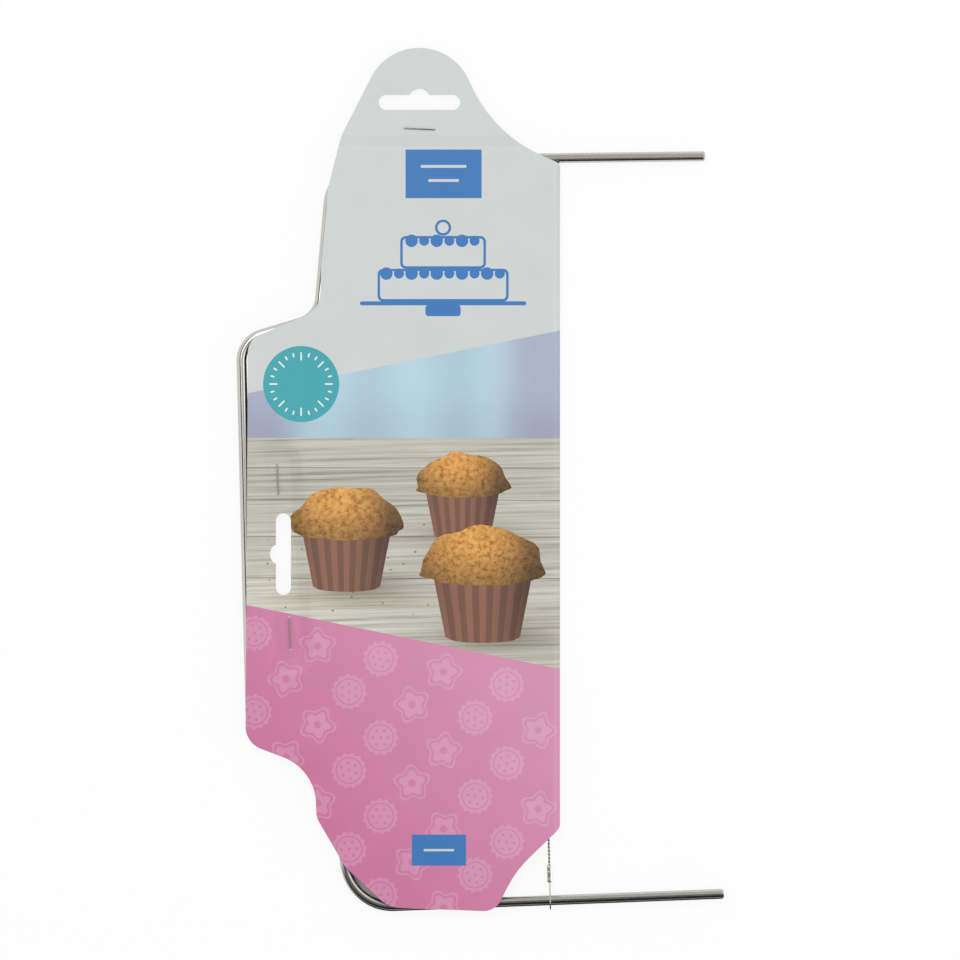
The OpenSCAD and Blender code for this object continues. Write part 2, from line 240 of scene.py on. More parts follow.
def bare_board(name, colour):
    """Uncoated side and cut edge of the board: matt off-white with fibre flecks."""
    material, tree = new_material(name)
    place = add_node(tree, "ShaderNodeTexCoord").outputs["Object"]
    fibre = add_node(tree, "ShaderNodeTexNoise",
                     {"Vector": place, "Scale": 800.0, "Detail": 6.0, "Roughness": 0.7})
    fleck = ramp_stops(add_node(tree, "ShaderNodeValToRGB", {"Fac": fibre}),
                       [(0.3, shaded(colour, 0.86)), (0.6, shaded(colour))])
    return with_surface(material, fibre, 0.8, 0.9, fibre, 0.03 * MM, 0.4, fleck.outputs["Color"])


def new_object(name, data):
    made = bpy.data.objects.new(name, data)
    bpy.context.scene.collection.objects.link(made)
    return made


def new_piece(name, vertices, faces, *materials):
    mesh = bpy.data.meshes.new(name)
    mesh.from_pydata([tuple(v) for v in vertices], [], faces)
    for material in materials:
        mesh.materials.append(material)
    return new_object(name, mesh)


def finish_piece(piece, body, node, sharp_deg=None):
    """Says what the piece rides on and replaces, and shades it smooth up to an angle."""
    if sharp_deg:
        piece.data.polygons.foreach_set("use_smooth", [True] * len(piece.data.polygons))
        piece.data.set_sharp_from_angle(angle=math.radians(sharp_deg))
    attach(piece, body)
    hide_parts(node)


def joined(shapes):
    """Vertices and faces of several shapes as one."""
    vertices, faces = [], []
    for more, more_faces in shapes:
        faces += [tuple(len(vertices) + n for n in face) for face in more_faces]
        vertices += more
    return vertices, faces


def add_bar(name, shape, material, body, node, sharp_deg=40):
    """Adds a piece of these vertices and faces, with doubles merged and its faces pointed outwards."""
    piece = new_piece(name, *shape, material)
    mesh = bmesh.new()
    mesh.from_mesh(piece.data)
    bmesh.ops.remove_doubles(mesh, verts=mesh.verts, dist=1e-7)
    bmesh.ops.recalc_face_normals(mesh, faces=mesh.faces)
    mesh.to_mesh(piece.data)
    mesh.free()
    finish_piece(piece, body, node, sharp_deg)


def rounded_path(corners, arc_step_deg=3, least=3):
    """Points of an open polyline whose corners, given as (point, radius), are rounded by arcs."""
    path = [corners[0][0]]
    for (before, _), (at, radius), (after, _) in zip(corners, corners[1:], corners[2:]):
        into, out = (at - before).normalized(), (after - at).normalized()
        turn = into.angle(out)
        start = at - into * radius * math.tan(turn / 2)
        centre = start + (out - into * into.dot(out)).normalized() * radius
        axis = into.cross(out).normalized()
        steps = max(least, math.ceil(math.degrees(turn) / arc_step_deg))
        spoke = start - centre
        for k in range(steps + 1):
            a = turn * k / steps
            path.append(centre + spoke * math.cos(a) + axis.cross(spoke) * math.sin(a))
    return path + [corners[-1][0]]


def tube_faces(rings, segments):
    """Faces of a closed tube, its points given ring by ring."""
    faces = []
    for i in range(rings - 1):
        for k in range(segments):
            a, b = i * segments + k, i * segments + (k + 1) % segments
            faces.append((a, b, b + segments, a + segments))
    return faces + [tuple(range(ring, ring + segments)) for ring in (0, (rings - 1) * segments)]


def swept(path, radius, across, segments, shape=None):
    """Vertices and faces of a round bar along a flat path. across is square to the path's plane.

    radius is one value or one for each point, and shape may change a ring's points before they are used.
    """
    radii = radius if isinstance(radius, list) else [radius] * len(path)
    vertices = []
    for i, point in enumerate(path):
        ahead = (path[min(i + 1, len(path) - 1)] - path[max(i - 1, 0)]).normalized()
        side = across.cross(ahead).normalized()
        for k in range(segments):
            a = 2 * math.pi * k / segments
            offset = (side * math.cos(a) + across * math.sin(a)) * radii[i]
            vertices.append(point + (shape(i, offset) if shape else offset))
    return vertices, tube_faces(len(path), segments)


def rod_corners(sizes):
    """The frame rod's corner points and bend radii from tip to tip, from the sizes and the CAD box."""
    corner_x = ROD_HIGH.x - sizes.leg_l
    corner_y = ROD_HIGH.y - ROD_R + sizes.leg_corner_r * math.sin(sizes.leg_toe_in)
    tip_y = corner_y - sizes.leg_l * math.tan(sizes.leg_toe_in)
    half = [(ROD_HIGH.x, tip_y, 0), (corner_x, corner_y, sizes.leg_corner_r),
            (corner_x - sizes.shoulder_lean, sizes.neck_w / 2, sizes.neck_bend_r),
            (ROD_LOW.x + ROD_R, sizes.handle_w / 2, sizes.handle_corner_r)]
    whole = half + [(x, -y, r) for x, y, r in reversed(half)]
    return [(Vector((x, y, MID_Z)), r) for x, y, r in whole]


def build_frame_rod(sizes):
    path = rounded_path(rod_corners(sizes))
    start = path[0]
    ahead = (path[1] - start).normalized()
    # each ring: its centre, its radius and the height that a notch cuts it to
    near = [(start, ROD_R - sizes.tip_chamfer, None), (start + ahead * sizes.tip_chamfer, ROD_R, None)]
    for i in range(sizes.notch_count):
        centre = sizes.notch_lead + i * sizes.notch_pitch
        for k in range(-4, 5):
            a = k * math.pi / 8
            near.append((start + ahead * (centre + sizes.notch_r * math.sin(a)), ROD_R,
                         sizes.notch_r * math.cos(a) - ROD_R))
    mirrored = [(Vector((p.x, -p.y, p.z)), r, floor) for p, r, floor in reversed(near)]
    rings = near + [(p, ROD_R, None) for p in path[1:-1]] + mirrored

    def cut(i, offset):
        floor = rings[i][2]
        return offset if floor is None else Vector((offset.x, offset.y, max(offset.z, floor)))

    shape = swept([ring[0] for ring in rings], [ring[1] for ring in rings], UP, 56, cut)
    steel = polished_stainless("polished_stainless_rod", sizes.steel)
    add_bar("bent_rod", shape, steel, "frame", "frame_rod", 35)


def build_crossbar(sizes):
    low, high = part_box("grip_crossbar")
    x, reach, bar_r = (low.x + high.x) / 2, high.y, (high.z - low.z) / 2
    ends = [Vector((x, side * reach, MID_Z)) for side in (-1, 1)]
    steel = polished_stainless("polished_stainless_bar", sizes.steel)
    add_bar("crossbar", swept(ends, bar_r, UP, 48), steel, "frame", "grip_crossbar")

    # the welds: a rough bead at each end that thins out along the bar
    weld_low, weld_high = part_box("weld_beads")
    bead_r = (weld_high.z - weld_low.z) / 2
    bead_start, bead_l, rings, segments = 1.6 * MM, 2.4 * MM, 12, 40
    random.seed(4)
    beads = []
    for side in (-1, 1):
        path, radii = [], []
        for k in range(rings + 1):
            t = k / rings
            path.append(Vector((x, side * (reach - bead_start - bead_l * t), MID_Z)))
            swell = math.sqrt(max(0.0, 1 - (1.15 * t - 0.15) ** 2)) if t < 1 else 0.0
            radii.append(bar_r + (bead_r - bar_r) * swell * (0.96 + 0.04 * math.cos(14 * t)))
        lobes = [random.uniform(0.96, 1.0) for _ in range(segments)]
        round_points, faces = swept(path, radii, UP, segments)
        rough = [path[i // segments].lerp(v, lobes[i % segments]) for i, v in enumerate(round_points)]
        beads.append((rough, faces))
    metal = weld_metal("weld_metal", sizes.weld)
    add_bar("welds", joined(beads), metal, "frame", "weld_beads")


def strand_tree(material):
    """Geometry nodes for two strands twisted round one line along Y."""
    tree = bpy.data.node_groups.new("twisted_pair", "GeometryNodeTree")
    for name in ("Length", "Points", "Turn Rate", "Twist Radius", "Strand Radius"):
        tree.interface.new_socket(name, in_out="INPUT", socket_type="NodeSocketFloat")
    tree.interface.new_socket("Geometry", in_out="OUTPUT", socket_type="NodeSocketGeometry")
    given = add_node(tree, "NodeGroupInput").outputs
    far_end = add_node(tree, "ShaderNodeCombineXYZ", {"Y": given["Length"]})
    line = add_node(tree, "GeometryNodeCurvePrimitiveLine", {"End": far_end})
    finer = add_node(tree, "GeometryNodeResampleCurve", {"Curve": line, "Count": given["Points"]})
    place = add_node(tree, "GeometryNodeInputPosition")
    along = add_node(tree, "ShaderNodeSeparateXYZ", {0: place}).outputs["Y"]
    angle = add_node(tree, "ShaderNodeMath", {0: along, 1: given["Turn Rate"]}, operation="MULTIPLY")
    section = add_node(tree, "GeometryNodeCurvePrimitiveCircle",
                       {"Resolution": 10, "Radius": given["Strand Radius"]})
    joined = add_node(tree, "GeometryNodeJoinGeometry")
    for phase in (0.0, math.pi):
        shifted = add_node(tree, "ShaderNodeMath", {0: angle, 1: phase}, operation="ADD")
        sides = []
        for wave in ("COSINE", "SINE"):
            share = add_node(tree, "ShaderNodeMath", {0: shifted}, operation=wave)
            sides.append(add_node(tree, "ShaderNodeMath", {0: share, 1: given["Twist Radius"]},
                                  operation="MULTIPLY"))
        offset = add_node(tree, "ShaderNodeCombineXYZ", {"X": sides[0], "Z": sides[1]})
        strand = add_node(tree, "GeometryNodeSetPosition", {"Geometry": finer, "Offset": offset})
        tube = add_node(tree, "GeometryNodeCurveToMesh",
                        {"Curve": strand, "Profile Curve": section, "Fill Caps": True})
        tree.links.new(tube.outputs["Mesh"], joined.inputs["Geometry"])
    smooth = add_node(tree, "GeometryNodeSetShadeSmooth", {"Geometry": joined})
    real = add_node(tree, "GeometryNodeRealizeInstances", {"Geometry": smooth})
    dressed = add_node(tree, "GeometryNodeSetMaterial", {"Geometry": real, "Material": material})
    add_node(tree, "NodeGroupOutput", {"Geometry": dressed})
    return tree


def build_cutting_wire(sizes):
    """Runs the strands' node tree once and keeps its result as a plain mesh."""
    low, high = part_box("cutting_wire")
    wire_r, strand_r = (high.z - low.z) / 2, sizes.strand_d / 2
    tree = strand_tree(drawn_wire("twisted_stainless_strands", sizes.wire, 0.28))
    turns, points_a_turn = (high.y - low.y) / sizes.twist_pitch, 14
    values = {"Length": high.y - low.y, "Points": turns * points_a_turn,
              "Turn Rate": 2 * math.pi / sizes.twist_pitch,
              "Twist Radius": wire_r - strand_r, "Strand Radius": strand_r}
    strands = new_piece("twisted_strands", [], [])
    modifier = strands.modifiers.new("nodes", "NODES")
    modifier.node_group = tree
    for item in tree.interface.items_tree:
        if item.name in values:
            modifier[item.identifier] = values[item.name]
    bpy.context.view_layer.update()
    evaluated = strands.evaluated_get(bpy.context.evaluated_depsgraph_get())
    mesh = bpy.data.meshes.new_from_object(evaluated)
    strands.modifiers.remove(modifier)
    strands.data = mesh
    mesh.name = "twisted_strands"
    mesh.transform(Matrix.Translation(((low.x + high.x) / 2, low.y, (low.z + high.z) / 2)))
    finish_piece(strands, "wire", "cutting_wire")


def build_eye(name, node, body, mouth_up, sizes, metal):
    """A loop of thin wire round a leg, drawn together towards its ferrule."""
    low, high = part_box(node)
    middle = (low + high) / 2
    tube_r = sizes.eye_wire_d / 2
    ring = (high.z - low.z) / 2 - tube_r
    sign = 1 if mouth_up else -1
    round_end = Vector((middle.x, (low.y if mouth_up else high.y) + sign * (ring + tube_r), middle.z))
    reach = (high.y - low.y) - ring - tube_r
    mouth = round_end + Vector((0, sign * reach, 0))
    beside = UP * tube_r * 0.9
    spread, steps = math.asin(ring / reach), 40
    points = [mouth + beside]
    for k in range(steps + 1):
        a = spread - (math.pi + 2 * spread) * k / steps
        points.append(round_end + Vector((0, sign * ring * math.sin(a), ring * math.cos(a))))
    points.append(mouth - beside)
    add_bar(name, swept(points, tube_r, Vector((1, 0, 0)), 16), metal, body, node)


def build_ferrule(name, node, metal):
    """A crimped sleeve: a flattened tube with two pressed waists and eased ends."""
    low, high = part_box(node)
    middle, half = (low + high) / 2, (high - low) / 2
    rings, segments = 41, 36
    end_share, end_ease, waist_depth, waist_w = 0.06, 0.2, 0.06, 0.07
    vertices = []
    for i in range(rings):
        t = i / (rings - 1)
        y = low.y + (high.y - low.y) * t
        from_end = min(1.0, min(t, 1 - t) / end_share)
        ease = 1 - end_ease + end_ease * math.sin(math.pi * from_end / 2)
        waist = 1 - waist_depth * sum(math.exp(-((t - at) / waist_w) ** 2) for at in (0.3, 0.7))
        for k in range(segments):
            a = 2 * math.pi * k / segments
            c, s = math.cos(a), math.sin(a)
            x = math.copysign(abs(c) ** 0.7, c) * half.x * ease
            z = math.copysign(abs(s) ** 0.8, s) * half.z * ease * waist
            vertices.append(Vector((middle.x + x, y, middle.z + z)))
    add_bar(name, (vertices, tube_faces(rings, segments)), metal, "wire", node, 50)


class CardPlan:
    """Where the card's points lie, in mm. u runs towards the fold and v towards the hanging tab.

    s is u measured along the board, which runs on round the fold to the back.
    """

    def __init__(self, sizes):
        neck, handle = [at.x / MM for at, _ in rod_corners(sizes)[2:4]]
        wire_low, wire_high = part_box("cutting_wire")
        low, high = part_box("grip_crossbar")
        crossbar = (low.x + high.x) / 2 / MM
        self.sizes = sizes
        self.t = sizes.thickness / MM
        self.out = MID_Z / MM
        self.full = self.out - self.t / 2
        self.pinched = sizes.pinch_gap / MM + self.t / 2
        self.side = side = ROD_HIGH.y / MM
        self.fold = fold = (wire_low.x + wire_high.x) / 2 / MM + 7.6
        self.spine_u = fold - self.out
        self.fold_s = self.spine_u + self.full * math.pi / 2
        self.grip = grip = (crossbar + handle) / 2
        self.weld = (crossbar, high.y / MM - 1.5)
        tab = fold - 55.8

        # u, v and turn in degrees of each staple and hang slot, and the pinched trough between two staples
        self.staples = [(tab, side + 9.5, -2.5), (grip - 1.55, 20.5, 92.5), (grip + 3.25, -40.6, 92.5)]
        self.slots = [(tab, side + 20.1, 0.0), (grip + 0.65, -9.2, 90.0)]
        self.trough = (np.array([grip - 1.55, 26.75]), np.array([grip + 3.25, -46.85]))
        self.trough_flat = 4.0
        self.trough_rim = (crossbar - handle - (high.x - low.x) / 2 / MM - ROD_R / MM) / 2 - 1.85

        # u, v and radius of each corner of the front, from the fold's foot upwards and round
        neck_v, handle_v = sizes.neck_w / MM / 2, sizes.handle_w / MM / 2
        self.corners = [
            (fold, -side + 32.4, 3), (fold, side - 4.3, 2.5), (tab + 29.8, side + 7.3, 56),
            (tab + 0.7, side + 69.1, 21.5), (tab - 31, side + 6.9, 18.5), (neck + 1.7, side - 13.8, 16),
            (neck - 1.1, neck_v + 18.5, 30), (neck - 1.7, neck_v + 1.1, 10),
            (handle + 0.9, handle_v - 1.9, 8), (handle - 0.1, -handle_v - 6.1, 9.5),
            (neck - 3.5, -neck_v - 8.1, 20), (neck - 3, -neck_v - 27.1, 8.5),
            (neck + 8.5, -side + 16.7, 10.5), (tab - 12.1, -side + 0.7, 12),
            (tab + 30.1, -side - 0.9, 7.8), (tab + 38, -side + 14.9, 45)]
        # the back reaches on under the rod at the lower leg's bend
        self.back_corners = self.corners[:12] + [
            (neck + 7.4, -side + 18.7, 3), (neck + 9, -side + 11.6, 10), (tab - 12.5, -side + 0.4, 12)
        ] + self.corners[14:]

    def height(self, u, v):
        """Height of the front panel's middle surface above the rods' plane."""
        foot, top = self.trough[1], self.trough[0]
        run = top - foot
        share = np.clip(((u - foot[0]) * run[0] + (v - foot[1]) * run[1]) / run.dot(run), 0, 1)
        away = np.hypot(u - foot[0] - share * run[0], v - foot[1] - share * run[1])
        trough = eased_rise(away, self.trough_flat, self.trough_rim)
        tab = 1 - eased_rise(v, self.side + 1.5, self.side + 8.0)
        window = smooth_step(u, -88, -50) * (1 - smooth_step(u, -10, 24))
        window *= 1 - smooth_step(np.abs(v), 60, 125)
        dip = window * (0.6 + 0.4 * np.sin(u / 17.0 + v / 31.0))
        rise = (self.full - self.pinched) * np.minimum(trough, tab)
        return self.pinched + rise - self.sizes.wave / MM * dip

    def place(self, s, v, lift):
        """Points of the bent board. lift is the distance outwards from its middle surface."""
        front = s <= self.fold_s
        near = np.where(front, s, 2 * self.fold_s - s)
        angle = np.clip((near - self.spine_u) / self.full, 0, math.pi / 2)
        flat = near <= self.spine_u
        u = np.where(flat, near, self.spine_u + (self.full + lift) * np.sin(angle))
        level = self.height(np.minimum(near, self.spine_u), v)
        over_weld = np.exp(-(np.hypot(near - self.weld[0], np.abs(v) - self.weld[1]) / 9) ** 2)
        settled = self.sizes.settle / MM * smooth_step(-near, 12, 62) * (1 - over_weld) / self.full
        level = np.where(front, level * (1 - settled), level)
        z = np.where(flat, level + lift, (self.full + lift) * np.cos(angle))
        turn = self.sizes.skew
        x = u * math.cos(turn) + v * math.sin(turn)
        y = -u * math.sin(turn) + v * math.cos(turn)
        return np.stack([x, y, self.out + np.where(front, z, -z)], axis=1) * MM

    def unroll(self, u):
        """The place along the board of a point of the outline at u, as seen from above."""
        if u <= self.spine_u:
            return u
        return self.spine_u + self.full * math.asin(min(1.0, (u - self.spine_u) / (self.full + self.t / 2)))

    def blank(self):
        """Outline of the unfolded board: the front's and, beyond the fold, the back's as a mirror image."""
        panels = []
        for corners in (self.corners, self.back_corners):
            half = rounded_outline(corners)
            foot = [i for i, (u, v) in enumerate(half[:len(half) // 2]) if u > self.fold - 1e-4 and v < 0]
            first = foot[-1] + 1
            panels.append([(self.unroll(u), v) for u, v in half[first:] + half[:first]])
        front, back = panels
        return front + [(2 * self.fold_s - s, v) for s, v in reversed(back[1:-1])]

    def holes(self):
        """Slots and staple holes of both panels."""
        holes = [slot_outline(*slot) for slot in self.slots]
        for u, v, turn in self.staples:
            t = math.radians(turn)
            du, dv = STAPLE_CROWN / 2 * math.cos(t), STAPLE_CROWN / 2 * math.sin(t)
            holes += [label(u + side * du, v + side * dv, 0.7, 0.7, 0.0, turn) for side in (-1, 1)]
        return holes + [[(2 * self.fold_s - s, v) for s, v in reversed(hole)] for hole in holes]


def smooth_step(value, low, high):
    t = np.clip((value - low) / (high - low), 0, 1)
    return t * t * (3 - 2 * t)


def eased_rise(value, low, high, ease=0.22):
    """A straight rise from 0 to 1 whose two ends are eased over a share of its length."""
    t = np.clip((value - low) / (high - low), 0, 1)
    slope = 1 / (1 - ease)
    foot = slope * t * t / (2 * ease)
    head = 1 - slope * (1 - t) ** 2 / (2 * ease)
    return np.where(t < ease, foot, np.where(t > 1 - ease, head, slope * (t - ease / 2)))


def scalloped(u, v, r, lobes, depth, turn=0.0, count=72):
    return [(u + r * (1 + depth * math.cos(lobes * a + turn)) * math.cos(a),
             v + r * (1 + depth * math.cos(lobes * a + turn)) * math.sin(a))
            for a in (2 * math.pi * k / count for k in range(count))]


def disc(u, v, r, count=40):
    return scalloped(u, v, r, 0, 0.0, count=count)


def turned(points, u, v, turn_deg):
    """The points turned about the origin and moved to u, v."""
    c, s = math.cos(math.radians(turn_deg)), math.sin(math.radians(turn_deg))
    return [(u + x * c - y * s, v + x * s + y * c) for x, y in points]


def label(u, v, width, height, corner=0.0, turn_deg=0.0):
    """A rectangle with rounded corners, turned about its middle."""
    points = []
    for sx, sy, start in ((1, 1, 0), (-1, 1, 90), (-1, -1, 180), (1, -1, 270)):
        steps = 6 if corner else 0
        for k in range(steps + 1):
            a = math.radians(start + 90 * k / max(steps, 1))
            points.append((sx * (width / 2 - corner) + corner * math.cos(a),
                           sy * (height / 2 - corner) + corner * math.sin(a)))
    return turned(points, u, v, turn_deg)


def rounded_outline(corners):
    """The card's outline as points, from its corner points (u, v, radius)."""
    ring = [(Vector((u, v, 0)), radius) for u, v, radius in corners]
    return [(p.x, p.y) for p in rounded_path([ring[-1]] + ring + [ring[0]], 4, 2)[1:-1]]


def slot_outline(u, v, turn_deg):
    """A hang slot 32.4 mm long and 6 mm wide with a round peg notch in its middle."""
    long_r, peg_r, peg_rise = 3.0, 4.2, 5.4
    half = 16.2 - long_r
    arc = [(half + long_r * math.sin(math.radians(a)), -long_r * math.cos(math.radians(a)))
           for a in range(0, 181, 15)]
    centre, steps = peg_rise - peg_r, 14
    edge = math.asin((long_r - centre) / peg_r)
    angles = [edge + (math.pi - 2 * edge) * k / steps for k in range(steps + 1)]
    peg = [(peg_r * math.cos(a), centre + peg_r * math.sin(a)) for a in angles]
    return turned(arc + peg + [(-x, -y) for x, y in arc], u, v, turn_deg)


PICTURE_TOP = ((-91.1, 54.7), (32.7, 79.5))
PICTURE_FOOT = ((-91.5, -29.4), (32.3, -54.7))
TABLE_EDGE = 36.9
MUFFINS = [(-52.0, -4.0, 36.0), (-6.0, 13.0, 30.0), (2.0, -22.0, 40.0)]
WOOD, CRUMB, PLAIN = (1.0, 0.0, 0.0, 1.0), (0.0, 1.0, 0.0, 1.0), (0.0, 0.0, 0.0, 1.0)


def on_line(line, s):
    (s0, v0), (s1, v1) = line
    return v0 + (v1 - v0) * (s - s0) / (s1 - s0)


def band(low_line, high_line, left, right):
    """The region between two slanted lines."""
    return [(left, on_line(low_line, left)), (right, on_line(low_line, right)),
            (right, on_line(high_line, right)), (left, on_line(high_line, left))]


def biscuit(u, v, turn):
    """A scalloped biscuit with a ring and seven pricked holes."""
    angles = [turn + k * math.pi / 3 for k in range(6)]
    holes = [disc(u, v, 0.62, 14)]
    holes += [disc(u + 3.1 * math.cos(a), v + 3.1 * math.sin(a), 0.62, 14) for a in angles]
    return [(scalloped(u, v, 6.7, 14, 0.07, turn), "motif"), (disc(u, v, 5.4, 44), "pink"),
            (disc(u, v, 4.8, 44), "motif")] + [(hole, "pink") for hole in holes]


def blossom(u, v, turn):
    """A five-lobed iced biscuit: outline, icing and a round middle."""
    return [(scalloped(u, v, 6.5, 5, 0.17, turn), "motif"), (scalloped(u, v, 5.7, 5, 0.17, turn), "pink"),
            (scalloped(u, v, 4.5, 5, 0.2, turn), "motif"), (disc(u, v, 1.5, 22), "pink")]


def muffin_top(u, v, size):
    points = []
    for k in range(48):
        a = 2 * math.pi * k / 48
        bump = 1 + 0.03 * math.cos(7 * a + u) + 0.02 * math.cos(11 * a)
        rise = 0.46 if math.sin(a) > 0 else 0.13
        points.append((u + size * 0.62 * math.cos(a) * bump, v + size * (0.14 + rise * math.sin(a) * bump)))
    return points


def muffin_pleats(u, v, size, count=13):
    """The pleats of a paper cup as upright strips that narrow towards its foot."""
    strips = []
    for k in range(count):
        left, right = -1 + 2 * k / count, -1 + 2 * (k + 1) / count
        wide, narrow = 0.5 * size, 0.37 * size
        foot = [v - size * (0.5 + 0.06 * math.sqrt(max(0.0, 1 - s * s))) for s in (left, right)]
        strips.append([(u + left * wide, v + 0.16 * size), (u + left * narrow, foot[0]),
                       (u + right * narrow, foot[1]), (u + right * wide, v + 0.16 * size)])
    return strips


def picture_shapes(fold_s):
    """Muffins on a wooden table before a pale wall."""
    left = -100.0
    shapes = [(band(PICTURE_FOOT, PICTURE_TOP, left, fold_s), "planks"),
              ([(left, TABLE_EDGE), (fold_s, TABLE_EDGE), (fold_s, on_line(PICTURE_TOP, fold_s)),
                (left, on_line(PICTURE_TOP, left))], "backdrop")]
    for v in (25.2, 12.4, -2.1, -18.6):
        shapes.append(([(left, v - 0.2), (fold_s, v - 0.5), (fold_s, v - 0.1), (left, v + 0.2)], "seam"))
    random.seed(11)
    for _ in range(60):
        u, v = random.uniform(-86, 28), random.uniform(-40, 4)
        r = random.uniform(0.3, 0.85)
        if v > on_line(PICTURE_FOOT, u) + 2:
            shapes.append(([(u + r * random.uniform(0.6, 1) * math.cos(a),
                             v + 0.7 * r * random.uniform(0.6, 1) * math.sin(a))
                            for a in (0.2, 1.4, 2.5, 3.7, 5.0)], "crumb"))
    for n, (u, v, size) in enumerate(MUFFINS):
        for k, strip in enumerate(muffin_pleats(u, v, size)):
            shapes.append((strip, f"cup_{n}" if k % 2 else f"pleat_{n}"))
        shapes.append((muffin_top(u, v, size), f"crust_{n}"))
    return shapes


def pink_shapes(fold_s):
    """The pink ground with its biscuits, which runs on round the fold to the back."""
    left, right = -100.0, 2 * fold_s + 100
    shapes = [([(left, -200), (right, -200), (right, on_line(PICTURE_FOOT, right)),
                (left, on_line(PICTURE_FOOT, left))], "pink")]
    random.seed(5)
    step_s, step_v = 25.0, 15.6
    for row in range(9):
        for column in range(12):
            s = -88.5 + step_s * column + (step_s / 2 if row % 2 else 0)
            v = on_line(PICTURE_FOOT, s) - 10.5 - step_v * row
            turn = random.uniform(0, 2 * math.pi)
            motif = blossom if (row + column) % 2 else biscuit
            if v > -160 and abs(s - fold_s) > 8.5:
                shapes += motif(s, v, turn)
    return shapes


def label_shapes():
    """Plain labels, a line drawing of a tiered cake and a round dial."""
    shapes = [(label(-13.5, 141.65, 30.2, 19.3), "blue"), (label(-13.5, 144.6, 18, 1.1), "pale"),
              (label(-13.5, 139.0, 12, 1.1), "pale"), (label(-15.35, -126.55, 21.5, 12.3), "blue"),
              (label(-15.35, -126.55, 12, 0.9), "pale")]
    middle = -13.7
    shapes += [(label(middle, 87.4, 14, 4.4, 1.2), "blue"), (label(middle, 90.3, 66, 1.6, 0.8), "blue")]
    for v, width in ((97.5, 52.0), (110.5, 34.0)):
        shapes += [(label(middle, v, width, 13, 2.2), "blue"),
                   (label(middle, v, width - 2.0, 11, 1.4), "pale")]
        drops = int(width / 5.2)
        for k in range(drops):
            u = middle + (k - (drops - 1) / 2) * 5.0
            shapes.append((disc(u, v + 4.6, 2.5 - 0.5 * (k % 2), 24), "blue"))
    dial_u, dial_v, dial_r, ticks = -70.0, 58.3, 15.1, 24
    shapes += [(disc(middle, 120.3, 3.2, 32), "blue"), (disc(middle, 120.3, 2.2, 28), "pale"),
               (disc(dial_u, dial_v, dial_r, 90), "teal")]
    for k in range(ticks):
        a = 2 * math.pi * k / ticks
        tick = 1.6 if k % 3 else 3.2
        r = dial_r - 2.5 - tick / 2
        mark = label(dial_u + r * math.cos(a), dial_v + r * math.sin(a), tick, 0.6, 0.0, math.degrees(a))
        shapes.append((mark, "white"))
    return shapes


def tinted(colour, tints):
    """A colour for each point, from one linear colour and multipliers for each point and channel."""
    return np.clip(np.array(colour[:3]) * tints, 0, 1)


def ink_colours(kind, sizes, s, v):
    """Linear colours of one ink at the points s, v."""
    even = np.ones((len(s), 3))
    if kind in ("pink", "motif"):
        light = smooth_step(s + 0.8 * v, -190, -10)[:, None]
        ground = tinted(sizes.pink, even + light * np.array([0.13, 0.75, 0.36]))
        return ground if kind == "pink" else ground + (1 - ground) * np.array([0.12, 0.1, 0.13])
    if kind == "planks":
        board = np.searchsorted([-18.6, -2.1, 12.4, 25.2], v)
        tone = np.array([1.03, 0.97, 1.02, 0.95, 0.99])[board]
        shade = even * (tone * (0.96 + 0.2 * smooth_step(-s, -10, 90) * smooth_step(-v, -10, 40)))[:, None]
        for mu, mv, size in MUFFINS:
            away = np.hypot((s - mu - 0.16 * size) / (0.62 * size), (v - mv + 0.5 * size) / (0.16 * size))
            shade *= 1 - np.exp(-away ** 2)[:, None] * np.array([0.5, 0.54, 0.58])
        return tinted(sizes.planks, shade)
    if kind == "backdrop":
        lilac = np.clip(1 - smooth_step(s, -84, -66) + smooth_step(s, 2, 22), 0, 1)[:, None]
        fold = 0.06 * np.sin(s / 5.5)[:, None] * (1 - lilac)
        low = 0.12 * smooth_step(-v, -60, -38)[:, None]
        return tinted(sizes.backdrop, even + lilac * np.array([-0.12, -0.3, -0.2]) + fold - low)
    if kind[:-2] in ("crust", "cup", "pleat"):
        mu, mv, size = MUFFINS[int(kind[-1])]
        x, y = (s - mu) / size, (v - mv) / size
        shade = np.clip(1.2 - 1.3 * np.abs(x + 0.12) ** 2 / 0.49, 0.3, 1.2)
        if kind.startswith("crust"):
            return tinted(sizes.crust, even * (shade * (0.62 + 0.62 * smooth_step(y, 0.0, 0.45)))[:, None])
        return tinted(sizes.cup, even * (shade * (1.5 if kind.startswith("pleat") else 1.0))[:, None])
    plain = {"pale": sizes.pale, "blue": sizes.blue, "teal": sizes.teal, "white": linear("#eef0ef"),
             "seam": linear("#9d998b"), "crumb": linear("#a98a5c")}
    return tinted(plain.get(kind, sizes.pale), even)


def sheet_points(plan):
    """Points that let the board bend: on a grid, and close together on the fold and in the pinched places."""
    points = [(u, v) for v in np.arange(-151, 222, 4.0) for u in np.arange(-94, plan.spine_u - 1, 4.0)]
    on_fold = np.linspace(plan.spine_u - 0.4, plan.fold_s, 13)
    points += [(s, v) for v in np.arange(-151, 222, 5.0) for s in on_fold]
    for us, vs in ((np.arange(plan.grip - 13, plan.grip + 13, 1.0), np.arange(-60, 40, 2.0)),
                   (np.arange(-66, 16, 3.0), np.arange(plan.side + 0.5, plan.side + 9, 0.7))):
        points += [(u, v) for u in us for v in vs]
    mirrored = [(2 * plan.fold_s - s, v) for s, v in points if s < plan.fold_s - 1e-6]
    for u, v, size in MUFFINS:
        points += [(u + du * size, v + dv * size)
                   for du in np.arange(-0.9, 0.91, 0.07) for dv in np.arange(-0.75, 0.66, 0.07)]
    return np.array(points + mirrored)


